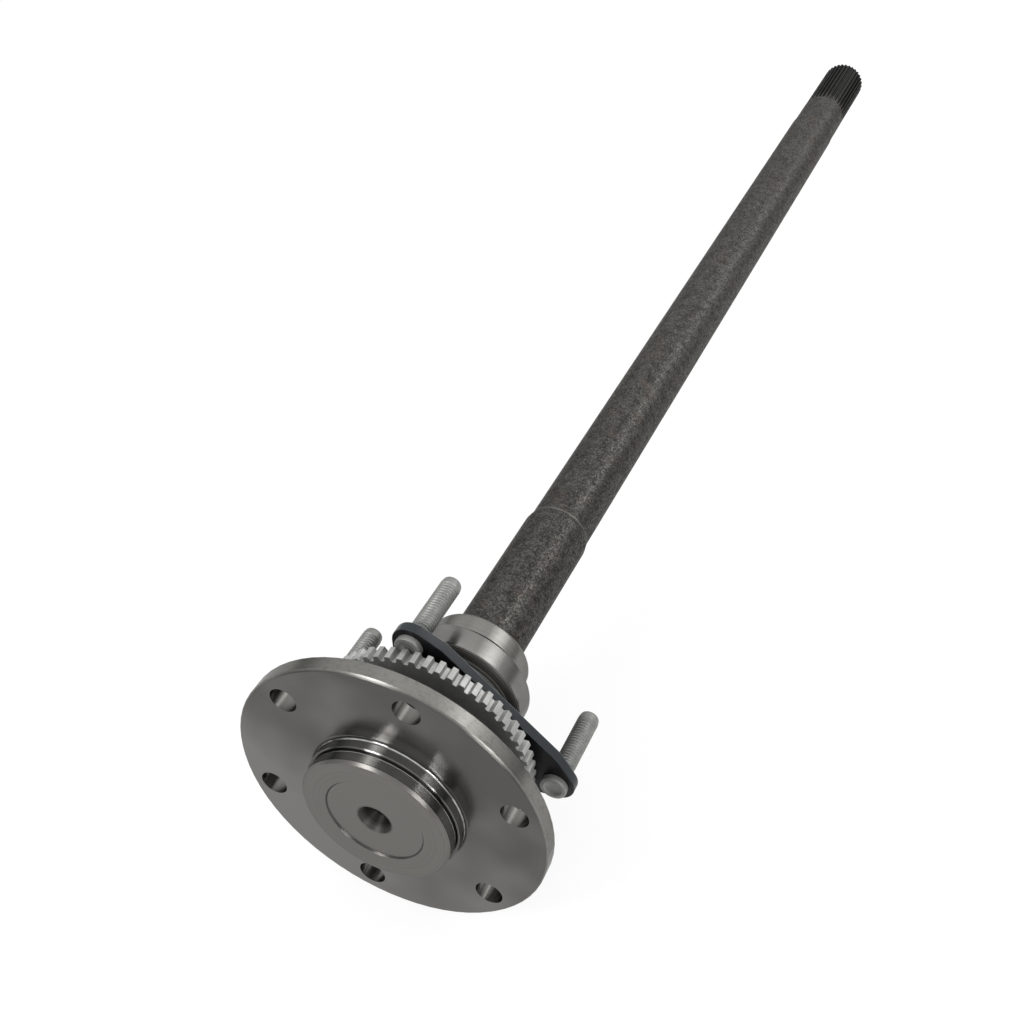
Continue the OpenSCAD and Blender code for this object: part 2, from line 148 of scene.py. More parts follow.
@dataclass(frozen=True)
class Turned:
    """Coordinates of a piece that was turned about the axle's axis."""

    place: Socket
    radius: Socket
    along: Socket
    lathe: Socket

    @classmethod
    def of(cls, tree: Tree) -> "Turned":
        """Works out the coordinates in a node tree.

        Args:
            tree: The material's node tree.

        Returns:
            Object coordinates, radius, length along the axle, and a vector that is the same all round.
        """
        place = add(tree, "TexCoord").outputs["Object"]
        parts = add(tree, "SeparateXYZ", {0: place})
        flat = add(tree, "CombineXYZ", {"X": parts.outputs["X"], "Z": parts.outputs["Z"]})
        radius = add(tree, "VectorMath", {0: flat}, operation="LENGTH").outputs["Value"]
        along = parts.outputs["Y"]
        lathe = add(tree, "CombineXYZ", {"X": radius, "Y": along}).outputs[0]
        return cls(place, radius, along, lathe)


@dataclass(frozen=True)
class Finish:
    """A surface finish. Each kind paints its own nodes round one shader."""

    name: str

    def material(self) -> bpy.types.Material:
        """Makes the finish's material.

        Returns:
            A material with the finish's nodes.
        """
        made = bpy.data.materials.new(self.name)
        made.use_nodes = True
        tree = made.node_tree
        tree.nodes.clear()
        shader = add(tree, "BsdfPrincipled")
        add(tree, "OutputMaterial", {"Surface": shader})
        self.paint(tree, shader)
        return made

    def paint(self, tree: Tree, shader: Node) -> None:
        """Adds the finish's own nodes and links them to the shader.

        Args:
            tree: The material's node tree.
            shader: The material's only shader.
        """
        raise NotImplementedError

    def dress(self, *pieces: bpy.types.Object) -> None:
        """Puts the finish on pieces in place of what they carry.

        Args:
            pieces: Objects that all take the same material.
        """
        made = self.material()
        for piece in pieces:
            piece.data.materials.clear()
            piece.data.materials.append(made)


@dataclass(frozen=True)
class LatheSteel(Finish):
    """Steel that was turned or ground on a lathe."""

    # Steel mirrors hardly more at a glancing angle than straight on.
    edge_tint: str = "#c6c6c6"
    # The tool's rings pull a mirror image out across them, a quarter turn from the way they run.
    stretch: float = 0.8
    stretch_turn: float = 0.25

    def gloss(self, tree: Tree, shader: Node) -> None:
        """Gives the shader the stretched mirror image of a turned surface.

        Args:
            tree: The material's node tree.
            shader: The material's only shader.
        """
        fill(tree, shader, {"Specular Tint": linear(self.edge_tint), "Anisotropic": self.stretch,
                            "Anisotropic Rotation": self.stretch_turn,
                            "Tangent": add(tree, "Tangent", direction_type="RADIAL", axis="Y")})


@dataclass(frozen=True)
class AxleForging(LatheSteel):
    """Medium carbon steel forging, turned at the flange, ground at the seats, with scale left on the shaft."""

    stretch: float = 0.85
    # Bare turned steel mirrors softly, and handling dulls it in broad smudges. Painted shade darkens the face further
    # towards +X and +Z.
    face: str = "#7b7a78"
    face_dull_and_shaded: str = "#575654"
    pilot_face: str = "#706e6b"
    wall: str = "#a9a9a8"
    bore: str = "#706f6c"
    rim: str = "#7d7c78"
    rim_scuff: str = "#706f6b"
    # The pilot's groove and its fillet are painted darker as shade.
    slot_shade: str = "#5a5958"
    fillet_shade: str = "#2e2d2c"
    # The drilled centre stays rough. It, a halo round it and the recess's corner are painted dark as shade.
    hollow_shade: str = "#1f1e1d"
    halo_cover: float = 0.85
    recess_cover: float = 0.6
    # The forged root of the hub is dark, since nothing cuts it.
    hub: str = "#3b3a38"
    # Ground seats are paler and smoother than turned faces.
    ground: str = "#7d7b78"
    # Forge scale is a dark brown-grey skin with pale metal on its high grains and a little rust.
    scale: tuple[tuple[float, str], ...] = ((0.22, "#373634"), (0.50, "#444341"), (0.80, "#5a5854"))
    rust: str = "#5c4a42"
    rust_cover: float = 0.3
    patch_shade: Span = (0.55, 1.1)
    # A highlight is painted on the corner where the shaft steps down.
    step_highlight: str = "#8a8781"
    step_highlight_cover: float = 0.4
    # The hardened and oiled spline end is nearly black.
    spline: str = "#292827"
    groove_shade: Span = (0.93, 1.07)

    # Roughness of each zone, as a pair where it changes within the zone.
    face_rough: Span = (0.15, 0.2)
    bore_rough: float = 0.27
    rim_rough: float = 0.23
    slant_rough: float = 0.36
    wall_rough: float = 0.16
    cone_rough: float = 0.62
    hub_rough: float = 0.5
    seat_rough: float = 0.26
    scale_rough: Span = (0.56, 0.34)
    # The scale shows less metal further along the shaft.
    scale_metal: Span = (0.82, 0.6)
    scale_run: Span = (0.2, 0.45)

    # Borders along the axle: where the next zone starts to show, and where it shows alone.
    pilot_front: Span = (-0.0128, -0.0124)
    bead_start: Span = (-0.0078, -0.00755)
    slot_start: Span = (-0.0077, -0.0075)
    slot_end: Span = (-0.0059, -0.0057)
    flange_face: Span = (-0.0004, 0.0)
    flange_back: Span = (0.0098, 0.0102)
    seat_start: Span = (0.0364, 0.0368)
    scale_start: Span = (0.1062, 0.1066)
    spline_start: Span = (0.816, 0.823)
    step_end: float = 0.2085
    step_half: float = 0.0012
    # Borders by radius. Those of the centre drilling run inwards.
    heart: Span = (0.00705, 0.0047)
    cone: Span = (0.0094, 0.00893)
    halo: Span = (0.0102, 0.006768)
    recess_radius: float = 0.02575
    recess_line: Span = (0.0005, 0.0002)
    wall_start: Span = (0.0385, 0.0388)
    fillet_start: Span = (0.04095, 0.04115)
    hole_inner: Span = (0.062, 0.0623)
    rim_start: Span = (0.0819, 0.0822)
    # Borders by the share of the normal that points along the axle.
    sideways: Span = (0.5, 0.3)
    slant_start: Span = (0.35, 0.45)
    slant_end: Span = (0.88, 0.94)

    # Real turning marks are about 0.2 mm apart. They are drawn coarser, so that they show.
    groove_mm: float = 0.5
    smudge_mm: float = 65.0
    smudge_span: Span = (0.33, 0.7)
    # Painted shade darkens the face towards +X and +Z, and the same drift makes it smoother there.
    shade_drift_mm: float = 240.0
    shade_drift_way: Place = (-0.45, 0.0, -0.5)
    scuff_mm: float = 3.0
    scuff_span: Span = (0.5, 0.68)
    grain_mm: float = 0.7
    speck_mm: float = 0.75
    speck_span: Span = (0.2, 0.8)
    patch_mm: float = 5.0
    patch_span: Span = (0.3, 0.55)
    stain_mm: float = 11.0
    stain_span: Span = (0.6, 0.78)
    mark_depth_mm: float = 0.0011
    grain_depth_mm: float = 0.035
    patch_depth_mm: float = 0.06
    bead_depth_mm: float = 0.09

    def paint(self, tree: Tree, shader: Node) -> None:
        """Adds the zones along the axle, each with its own marks.

        Args:
            tree: The material's node tree.
            shader: The material's only shader.
        """
        at = Turned.of(tree)
        noise, zone = self.noises(tree, at), self.zones(tree, at)
        speck = add(tree, "TexVoronoi", {"Vector": at.place, "Scale": per_metre(self.speck_mm)}).outputs["Color"]

        colour = self.turned_tone(tree, noise, zone)
        scale = self.scale_tone(tree, at, noise, speck)
        for name, tone in (("past_flange", linear(self.hub)), ("past_hub", linear(self.ground)),
                           ("past_seat", scale), ("past_scale", linear(self.spline))):
            colour = add(tree, "MixRGB", {"Fac": zone[name], "Color1": colour, "Color2": tone})
        line = add(tree, "MapRange", {"Value": noise["groove"], **NOISE_SPAN, "To Min": self.groove_shade[0],
                                      "To Max": self.groove_shade[1]})
        colour = add(tree, "MixRGB", {"Fac": 1.0, "Color1": colour, "Color2": line}, blend_type="MULTIPLY")

        dull = add(tree, "MapRange", {"Value": noise["smudge"], **NOISE_SPAN, "To Min": self.face_rough[0],
                                      "To Max": self.face_rough[1]})
        skin = add(tree, "MapRange", {"Value": speck, "From Min": self.speck_span[0], "From Max": self.speck_span[1],
                                      "To Min": self.scale_rough[0], "To Max": self.scale_rough[1]})
        for name, rough in (("in_hole", self.bore_rough), ("on_rim", self.rim_rough), ("slant", self.slant_rough),
                            ("wall", self.wall_rough), ("cone", self.cone_rough), ("past_flange", self.hub_rough),
                            ("past_hub", self.seat_rough), ("past_seat", skin)):
            dull = add(tree, "Mix", {"Factor": zone[name], "A": dull, "B": rough})
        bare = add(tree, "MapRange", {"Value": at.along, "From Min": self.scale_run[0], "From Max": self.scale_run[1],
                                      "To Min": self.scale_metal[0], "To Max": self.scale_metal[1]})
        metal = add(tree, "Mix", {"Factor": zone["past_seat"], "A": 1.0, "B": bare})

        bead = add(tree, "Math", {0: zone["past_bead"], 1: self.bead_depth_mm}, operation="MULTIPLY")
        marks = add(tree, "Math", {0: noise["groove"], 1: self.mark_depth_mm, 2: bead}, operation="MULTIPLY_ADD")
        bumps = add(tree, "Math", {0: noise["patch"], 1: self.patch_depth_mm}, operation="MULTIPLY")
        bumps = add(tree, "Math", {0: noise["grain"], 1: self.grain_depth_mm, 2: bumps}, operation="MULTIPLY_ADD")
        height = add(tree, "Mix", {"Factor": zone["past_seat"], "A": marks, "B": bumps})
        relief = add(tree, "Bump", {"Strength": 1.0, "Distance": MM, "Height": height})
        fill(tree, shader, {"Base Color": colour, "Roughness": dull, "Metallic": metal, "Normal": relief})
        self.gloss(tree, shader)

    def noises(self, tree: Tree, at: Turned) -> dict[str, Node]:
        """Makes the noise of each kind of mark at its own size, with the painted shade drift in the smudges.

        Args:
            tree: The material's node tree.
            at: The forging's coordinates.

        Returns:
            A noise for each mark's name.
        """
        marks = {
            "groove": (at.lathe, self.groove_mm, 2.0, 0.5),
            "smudge": (at.place, self.smudge_mm, 2.0, 0.5),
            "scuff": (at.place, self.scuff_mm, 5.0, 0.65),
            "grain": (at.place, self.grain_mm, 3.0, 0.6),
            "patch": (at.place, self.patch_mm, 4.0, 0.6),
            "stain": (at.place, self.stain_mm, 2.0, 0.5),
        }
        noise = {name: add(tree, "TexNoise", {"Vector": where, "Scale": per_metre(size_mm), "Detail": detail,
                                              "Roughness": fade})
                 for name, (where, size_mm, detail, fade) in marks.items()}
        # The painted shade drift is added to the smudge noise.
        way = [share * per_metre(self.shade_drift_mm) for share in self.shade_drift_way]
        shade_drift = add(tree, "VectorMath", {0: at.place, 1: way}, operation="DOT_PRODUCT").outputs["Value"]
        noise["smudge"] = add(tree, "Math", {0: noise["smudge"], 1: shade_drift}, operation="ADD")
        return noise

    def zones(self, tree: Tree, at: Turned) -> dict[str, Node]:
        """Makes the masks that tell the forging's zones apart.

        Args:
            tree: The material's node tree.
            at: The forging's coordinates.

        Returns:
            A mask for each zone's name, which is one inside the zone.
        """
        facing = add(tree, "SeparateXYZ", {0: add(tree, "TexCoord").outputs["Normal"]}).outputs["Y"]
        facing = add(tree, "Math", {0: facing}, operation="ABSOLUTE")
        borders = {
            "past_front": (at.along, self.pilot_front), "past_bead": (at.along, self.bead_start),
            "past_slot_start": (at.along, self.slot_start), "past_slot_end": (at.along, self.slot_end),
            "past_face": (at.along, self.flange_face), "past_flange": (at.along, self.flange_back),
            "past_hub": (at.along, self.seat_start), "past_seat": (at.along, self.scale_start),
            "past_scale": (at.along, self.spline_start),
            "heart": (at.radius, self.heart), "cone": (at.radius, self.cone),
            "outside_wall": (at.radius, self.wall_start), "in_fillet": (at.radius, self.fillet_start),
            "near_holes": (at.radius, self.hole_inner), "on_rim": (at.radius, self.rim_start),
            "sideways": (facing, self.sideways), "off_side": (facing, self.slant_start),
            "on_face": (facing, self.slant_end),
        }
        zone = {name: add(tree, "MapRange", {"Value": value, "From Min": start, "From Max": end})
                for name, (value, (start, end)) in borders.items()}
        for name, operation, one, other in (("behind_front", "MULTIPLY", "outside_wall", "past_front"),
                                            ("wall", "SUBTRACT", "behind_front", "past_face"),
                                            ("slot", "SUBTRACT", "past_slot_start", "past_slot_end"),
                                            ("slant", "SUBTRACT", "off_side", "on_face"),
                                            ("in_hole", "MULTIPLY", "sideways", "near_holes")):
            zone[name] = add(tree, "Math", {0: zone[one], 1: zone[other]}, operation=operation, use_clamp=True)
        # Painted shade in the centre drilling, in a halo round it and along the recess's corner.
        halo = add(tree, "MapRange", {"Value": at.radius, "From Min": self.halo[0], "From Max": self.halo[1],
                                      "To Max": self.halo_cover})
        recess = add(tree, "Math", {0: at.radius, 1: self.recess_radius}, operation="SUBTRACT")
        recess = add(tree, "Math", {0: recess}, operation="ABSOLUTE")
        recess = add(tree, "MapRange", {"Value": recess, "From Min": self.recess_line[0],
                                        "From Max": self.recess_line[1], "To Max": self.recess_cover})
        shaded_hollows = add(tree, "Math", {0: zone["heart"], 1: halo}, operation="MAXIMUM")
        zone["shaded_hollows"] = add(tree, "Math", {0: shaded_hollows, 1: recess}, operation="MAXIMUM")
        return zone

    def turned_tone(self, tree: Tree, noise: dict[str, Node], zone: dict[str, Node]) -> Node:
        """Colours the flange, the pilot, the wheel holes and the centre drilling, with painted shade in the hollows,
        the corners and across the face.

        Args:
            tree: The material's node tree.
            noise: A noise for each mark's name.
            zone: A mask for each zone's name.

        Returns:
            The node that gives the colour.
        """
        clean_and_lit = add(tree, "MapRange", {"Value": noise["smudge"], "From Min": self.smudge_span[0],
                                       "From Max": self.smudge_span[1]})
        tone = add(tree, "MixRGB", {"Fac": clean_and_lit, "Color1": linear(self.face_dull_and_shaded), "Color2": linear(self.face)})
        tone = add(tree, "MixRGB", {"Fac": zone["past_front"], "Color1": linear(self.pilot_face), "Color2": tone})
        worn = add(tree, "MapRange", {"Value": noise["scuff"], "From Min": self.scuff_span[0],
                                      "From Max": self.scuff_span[1]})
        worn = add(tree, "MixRGB", {"Fac": worn, "Color1": linear(self.rim), "Color2": linear(self.rim_scuff)})
        cut = add(tree, "MixRGB", {"Fac": zone["in_fillet"], "Color1": linear(self.wall),
                                   "Color2": linear(self.fillet_shade)})
        cut = add(tree, "MixRGB", {"Fac": zone["slot"], "Color1": cut, "Color2": linear(self.slot_shade)})
        for name, over in (("in_hole", linear(self.bore)), ("on_rim", worn), ("wall", cut),
                           ("shaded_hollows", linear(self.hollow_shade))):
            tone = add(tree, "MixRGB", {"Fac": zone[name], "Color1": tone, "Color2": over})
        return tone

    def scale_tone(self, tree: Tree, at: Turned, noise: dict[str, Node], speck: Socket) -> Node:
        """Colours the forge scale, its rust and dark patches, and paints a highlight on the corner where the shaft
        steps down.

        Args:
            tree: The material's node tree.
            at: The forging's coordinates.
            noise: A noise for each mark's name.
            speck: A value for each grain of the scale.

        Returns:
            The node that gives the colour.
        """
        tone = add(tree, "ValToRGB", {"Fac": speck}, stops=self.scale)
        rust = add(tree, "MapRange", {"Value": noise["stain"], "From Min": self.stain_span[0],
                                      "From Max": self.stain_span[1], "To Max": self.rust_cover})
        tone = add(tree, "MixRGB", {"Fac": rust, "Color1": tone, "Color2": linear(self.rust)})
        dark = add(tree, "MapRange", {"Value": noise["patch"], "From Min": self.patch_span[0],
                                      "From Max": self.patch_span[1], "To Min": self.patch_shade[0],
                                      "To Max": self.patch_shade[1]})
        tone = add(tree, "MixRGB", {"Fac": 1.0, "Color1": tone, "Color2": dark}, blend_type="MULTIPLY")
        ridge = add(tree, "Math", {0: at.along, 1: self.step_end}, operation="SUBTRACT")
        ridge = add(tree, "Math", {0: ridge}, operation="ABSOLUTE")
        ridge = add(tree, "MapRange", {"Value": ridge, "From Min": self.step_half, "From Max": 0.0,
                                       "To Max": self.step_highlight_cover})
        return add(tree, "MixRGB", {"Fac": ridge, "Color1": tone, "Color2": linear(self.step_highlight)})


@dataclass(frozen=True)
class BearingSteel(LatheSteel):
    """Hardened bearing steel or turned collar steel, ground all round."""

    # Grinding leaves a satin mirror with fine rings that draw highlights out along the axle.
    pale: str = "#7f7e7b"
    dull: str = "#737270"
    roughness: float = 0.24
    rough_sway: float = 0.15
    # The front face is a dark matt grey with darker rings, and its corner is painted darker still as shade.
    skin: str = "#64625e"
    corner: str = "#1d1c1b"
    skin_rough: float = 0.6
    skin_metal: float = 0.15
    # Borders by the share of the normal that points along the axle.
    corner_start: Span = (-0.25, -0.45)
    front_start: Span = (-0.5, -0.65)
    ring_mm: float = 0.95
    ring_wave: Span = (-0.7, 0.1)
    # Real grinding rings are under 0.1 mm apart. They are drawn coarser, so that they show.
    groove_mm: float = 0.45
    groove_shade: Span = (0.92, 1.06)
    smudge_mm: float = 16.0
    smudge_span: Span = (0.35, 0.65)
    depth_mm: float = 0.0012

    def paint(self, tree: Tree, shader: Node) -> None:
        """Adds grinding rings and faint finger-wide smudges.

        Args:
            tree: The material's node tree.
            shader: The material's only shader.
        """
        at = Turned.of(tree)
        groove = add(tree, "TexNoise", {"Vector": at.lathe, "Scale": per_metre(self.groove_mm), "Detail": 3.0})
        smudge = add(tree, "TexNoise", {"Vector": at.place, "Scale": per_metre(self.smudge_mm), "Detail": 4.0})
        tone = add(tree, "MapRange", {"Value": smudge, "From Min": self.smudge_span[0],
                                      "From Max": self.smudge_span[1]})
        colour = add(tree, "MixRGB", {"Fac": tone, "Color1": linear(self.dull), "Color2": linear(self.pale)})
        line = add(tree, "MapRange", {"Value": groove, **NOISE_SPAN, "To Min": self.groove_shade[0],
                                      "To Max": self.groove_shade[1]})
        colour = add(tree, "MixRGB", {"Fac": 1.0, "Color1": colour, "Color2": line}, blend_type="MULTIPLY")

        facing = add(tree, "SeparateXYZ", {0: add(tree, "TexCoord").outputs["Normal"]}).outputs["Y"]
        front, flat = (add(tree, "MapRange", {"Value": facing, "From Min": start, "From Max": end})
                       for start, end in (self.corner_start, self.front_start))
        rings = add(tree, "Math", {0: at.radius, 1: math.tau * per_metre(self.ring_mm)}, operation="MULTIPLY")
        rings = add(tree, "Math", {0: rings}, operation="SINE")
        rings = add(tree, "MapRange", {"Value": rings, "From Min": self.ring_wave[0], "From Max": self.ring_wave[1]})
        skin = add(tree, "MixRGB", {"Fac": rings, "Color1": linear(self.corner), "Color2": linear(self.skin)})
        for cover, over in ((front, linear(self.corner)), (flat, skin)):
            colour = add(tree, "MixRGB", {"Fac": cover, "Color1": colour, "Color2": over})

        rough = add(tree, "MapRange", {"Value": smudge, **NOISE_SPAN, "To Min": self.roughness * (1 + self.rough_sway),
                                       "To Max": self.roughness * (1 - self.rough_sway)})
        rough = add(tree, "Mix", {"Factor": front, "A": rough, "B": self.skin_rough})
        metal = add(tree, "MapRange", {"Value": front, "To Min": 1.0, "To Max": self.skin_metal})
        relief = add(tree, "Bump", {"Strength": 1.0, "Distance": self.depth_mm * MM, "Height": groove})
        fill(tree, shader, {"Base Color": colour, "Roughness": rough, "Metallic": metal, "Normal": relief})
        self.gloss(tree, shader)


@dataclass(frozen=True)
class MattSteel(Finish):
    """Steel whose surface is matt all over: sintered, zinc flake coated, phosphated or drawn."""

    # Pores and flakes scatter the light, so the colour is even and highlights are broad.
    pale: str = "#b5b5b3"
    dull: str = "#989897"
    roughness: float = 0.48
    rough_sway: float = 0.06
    metallic: float = 0.8
    grain_mm: float = 0.45
    patch_mm: float = 9.0
    tone_span: Span = (0.75, 1.25)
    depth_mm: float = 0.012

    def paint(self, tree: Tree, shader: Node) -> None:
        """Adds a fine grain and broad dull patches.

        Args:
            tree: The material's node tree.
            shader: The material's only shader.
        """
        place = add(tree, "TexCoord").outputs["Object"]
        grain = add(tree, "TexNoise", {"Vector": place, "Scale": per_metre(self.grain_mm), "Detail": 3.0})
        patch = add(tree, "TexNoise", {"Vector": place, "Scale": per_metre(self.patch_mm), "Detail": 4.0})
        tone = add(tree, "Math", {0: grain, 1: patch}, operation="ADD")
        tone = add(tree, "MapRange", {"Value": tone, "From Min": self.tone_span[0], "From Max": self.tone_span[1]})
        colour = add(tree, "MixRGB", {"Fac": tone, "Color1": linear(self.dull), "Color2": linear(self.pale)})
        rough = add(tree, "MapRange", {"Value": patch, **NOISE_SPAN, "To Min": self.roughness + self.rough_sway,
                                       "To Max": self.roughness - self.rough_sway})
        relief = add(tree, "Bump", {"Strength": 1.0, "Distance": self.depth_mm * MM, "Height": grain})
        fill(tree, shader, {"Base Color": colour, "Roughness": rough, "Metallic": self.metallic, "Normal": relief})


@dataclass(frozen=True)
class DipCoat(Finish):
    """Black dip coating on pressed steel plate."""

    # The coat is thin and half glossy. The sheared edge is painted slate-blue as a reflection of the sky, a highlight
    # is painted along the back edge, and corners rub paler.
    face: str = "#0d0d0f"
    edge: str = "#25292c"
    rubbed: str = "#4c5154"
    back_highlight: str = "#8b9194"
    roughness: Span = (0.42, 0.32)
    ior: float = 1.5
    mirror: float = 0.25
    # Borders by the share of the normal that points along the axle.
    line_start: Span = (0.3, 0.5)
    line_end: Span = (0.8, 0.95)
    edge_start: Span = (0.35, 0.15)
    corner_start: Span = (0.98, 0.75)
    grain_mm: float = 0.7
    grain_depth_mm: float = 0.01
    patch_mm: float = 14.0
    wear_span: Span = (0.4, 0.7)
    wear_cover: float = 0.6

    def paint(self, tree: Tree, shader: Node) -> None:
        """Tells the sheared edge from the faces by its normal, paints the sky's reflection on it and a highlight along
        the back edge, and adds orange peel.

        Args:
            tree: The material's node tree.
            shader: The material's only shader.
        """
        source = add(tree, "TexCoord")
        place = source.outputs["Object"]
        facing = add(tree, "SeparateXYZ", {0: source.outputs["Normal"]}).outputs["Y"]
        either = add(tree, "Math", {0: facing}, operation="ABSOLUTE")
        past_edge, on_back, on_edge, on_corner = (
            add(tree, "MapRange", {"Value": value, "From Min": start, "From Max": end})
            for value, (start, end) in ((facing, self.line_start), (facing, self.line_end),
                                        (either, self.edge_start), (either, self.corner_start)))
        on_highlight_line = add(tree, "Math", {0: past_edge, 1: on_back}, operation="SUBTRACT", use_clamp=True)
        grain = add(tree, "TexNoise", {"Vector": place, "Scale": per_metre(self.grain_mm), "Detail": 2.0})
        patch = add(tree, "TexNoise", {"Vector": place, "Scale": per_metre(self.patch_mm), "Detail": 4.0})
        worn = add(tree, "MapRange", {"Value": patch, "From Min": self.wear_span[0], "From Max": self.wear_span[1],
                                      "To Max": self.wear_cover})
        worn = add(tree, "Math", {0: worn, 1: on_corner}, operation="MULTIPLY")
        colour = linear(self.face)
        for cover, over in ((worn, self.rubbed), (on_edge, self.edge), (on_highlight_line, self.back_highlight)):
            colour = add(tree, "MixRGB", {"Fac": cover, "Color1": colour, "Color2": linear(over)})
        rough = add(tree, "MapRange", {"Value": patch, **NOISE_SPAN, "To Min": self.roughness[0],
                                       "To Max": self.roughness[1]})
        relief = add(tree, "Bump", {"Strength": 1.0, "Distance": self.grain_depth_mm * MM, "Height": grain})
        fill(tree, shader, {"Base Color": colour, "Roughness": rough, "IOR": self.ior,
                            "Specular IOR Level": self.mirror, "Normal": relief})


@dataclass(frozen=True)
class SealRubber(Finish):
    """Moulded nitrile rubber."""

    # It is black and matt, with a brown-grey bloom where the ribs stand proud.
    rubber: str = "#171716"
    bloom: str = "#4c4b48"
    bloom_cover: Span = (0.55, 1.0)
    roughness: Span = (0.5, 0.66)
    ior: float = 1.52
    rib_radius: float = 0.0317
    rib_height: float = 0.0008
    grain_mm: float = 0.6
    grain_depth_mm: float = 0.015
    dust_mm: float = 5.0

    def paint(self, tree: Tree, shader: Node) -> None:
        """Adds the bloom on the ribs and a moulded grain.

        Args:
            tree: The material's node tree.
            shader: The material's only shader.
        """
        at = Turned.of(tree)
        grain = add(tree, "TexNoise", {"Vector": at.place, "Scale": per_metre(self.grain_mm), "Detail": 2.0})
        dust = add(tree, "TexNoise", {"Vector": at.place, "Scale": per_metre(self.dust_mm), "Detail": 4.0})
        proud = add(tree, "MapRange", {"Value": at.radius, "From Min": self.rib_radius,
                                       "From Max": self.rib_radius + self.rib_height})
        dusty, rough = (add(tree, "MapRange", {"Value": dust, **NOISE_SPAN, "To Min": start, "To Max": end})
                        for start, end in (self.bloom_cover, self.roughness))
        cover = add(tree, "Math", {0: proud, 1: dusty}, operation="MULTIPLY")
        colour = add(tree, "MixRGB", {"Fac": cover, "Color1": linear(self.rubber), "Color2": linear(self.bloom)})
        relief = add(tree, "Bump", {"Strength": 1.0, "Distance": self.grain_depth_mm * MM, "Height": grain})
        fill(tree, shader, {"Base Color": colour, "Roughness": rough, "IOR": self.ior, "Normal": relief})


@dataclass(frozen=True)
class StudioFloor(Finish):
    """Matt white paper that shows plain white, keeps the object's shadow and fades out into the studio."""

    # Paper has no mirror image of its own. Its glow stands for the light of the studio on it.
    paper: str = "#f4f4f4"
    lit: str = "#ffffff"
    dim: str = "#939393"
    glow: float = 0.8
    roughness: float = 0.9
    centre: Place = (0.0, 0.45, FLOOR_Z)
    lit_radius: float = 1.25
    dim_radius: float = 2.6

    def paint(self, tree: Tree, shader: Node) -> None:
        """Adds the glow that the camera, mirrors and glass see.

        Args:
            tree: The material's node tree.
            shader: The material's only shader.
        """
        place = add(tree, "TexCoord").outputs["Object"]
        reach = add(tree, "VectorMath", {0: place, 1: self.centre}, operation="DISTANCE").outputs["Value"]
        fade = add(tree, "MapRange", {"Value": reach, "From Min": self.lit_radius, "From Max": self.dim_radius},
                   interpolation_type="SMOOTHSTEP")
        paper, seen_as = (add(tree, "MixRGB", {"Fac": fade, "Color1": linear(near), "Color2": linear(self.dim)})
                          for near in (self.paper, self.lit))
        fill(tree, shader, {"Base Color": paper, "Roughness": self.roughness, "Specular IOR Level": 0.0})
        path = add(tree, "LightPath").outputs
        seen = add(tree, "Math", {0: path["Is Camera Ray"], 1: path["Is Glossy Ray"]}, operation="ADD")
        seen = add(tree, "Math", {0: seen, 1: path["Is Transmission Ray"]}, operation="ADD", use_clamp=True)
        share = add(tree, "Math", {0: seen, 1: self.glow}, operation="MULTIPLY")
        light = add(tree, "Emission", {"Color": seen_as, "Strength": 1.0})
        both = add(tree, "MixShader", {"Fac": share, 1: shader, 2: light})
        out = next(n for n in tree.nodes if n.bl_idname == "ShaderNodeOutputMaterial")
        fill(tree, out, {"Surface": both})


def finished(bm: bmesh.types.BMesh, name: str, crease_deg: float = 40.0) -> bpy.types.Object:
    """Turns a bmesh into a linked object, smooth where its faces meet at a low angle.

    Args:
        bm: The finished bmesh, which is freed here.
        name: The new object's name.
        crease_deg: The angle from which an edge stays sharp.

    Returns:
        The new object, at the origin.
    """
    limit = math.radians(crease_deg)
    for face in bm.faces:
        face.smooth = True
    for edge in bm.edges:
        edge.smooth = len(edge.link_faces) != 2 or edge.calc_face_angle() < limit
    mesh = bpy.data.meshes.new(name)
    bm.to_mesh(mesh)
    bm.free()
    piece = bpy.data.objects.new(name, mesh)
    bpy.context.scene.collection.objects.link(piece)
    return piece


def softened(node: str, name: str, width: float, flat_deg: float = 0.3, sharp_deg: float = 35.0) -> bpy.types.Object:
    """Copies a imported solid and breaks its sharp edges.

    Args:
        node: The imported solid's name.
        name: The new piece's name.
        width: The width of the broken edge.
        flat_deg: The angle up to which triangles are joined to one face.
        sharp_deg: The angle from which an edge is broken.

    Returns:
        The new piece.
    """
    bm = bmesh.new()
    bm.from_mesh(frame["nodes"][node].data)
    bmesh.ops.remove_doubles(bm, verts=bm.verts, dist=MERGE)
    bmesh.ops.dissolve_limit(bm, angle_limit=math.radians(flat_deg), verts=bm.verts, edges=bm.edges)
    limit = math.radians(sharp_deg)
    sharp = [e for e in bm.edges if len(e.link_faces) == 2 and e.calc_face_angle() > limit]
    bmesh.ops.bevel(bm, geom=sharp, offset=width, offset_type="OFFSET", segments=2, profile=0.5, affect="EDGES",
                    clamp_overlap=True, material=-1)
    piece = finished(bm, name, crease_deg=50.0)
    even = piece.modifiers.new("even_shading", "WEIGHTED_NORMAL")
    even.keep_sharp = True
    return piece


@dataclass
class Camera:
    """The viewpoint: right of the axle's axis, above the flange, looking along the shaft."""

    place: Place = (0.2214, -0.3488, 0.5373)
    look: Place = (-0.3089, 0.6883, -0.6564)
    lens_mm: float = 48.66
    sensor_mm: float = 36.0
    clip: Span = (0.01, 50.0)

    def build(self) -> None:
        """Makes the camera and hands it to the scene."""
        data = bpy.data.cameras.new("view")
        data.sensor_fit, data.sensor_width, data.lens = "HORIZONTAL", self.sensor_mm, self.lens_mm
        data.clip_start, data.clip_end = self.clip
        camera = bpy.data.objects.new("view", data)
        bpy.context.scene.collection.objects.link(camera)
        camera.location = self.place
        camera.rotation_mode = "QUATERNION"
        camera.rotation_quaternion = Vector(self.look).to_track_quat("-Z", "Y")
        bpy.context.scene.camera = camera


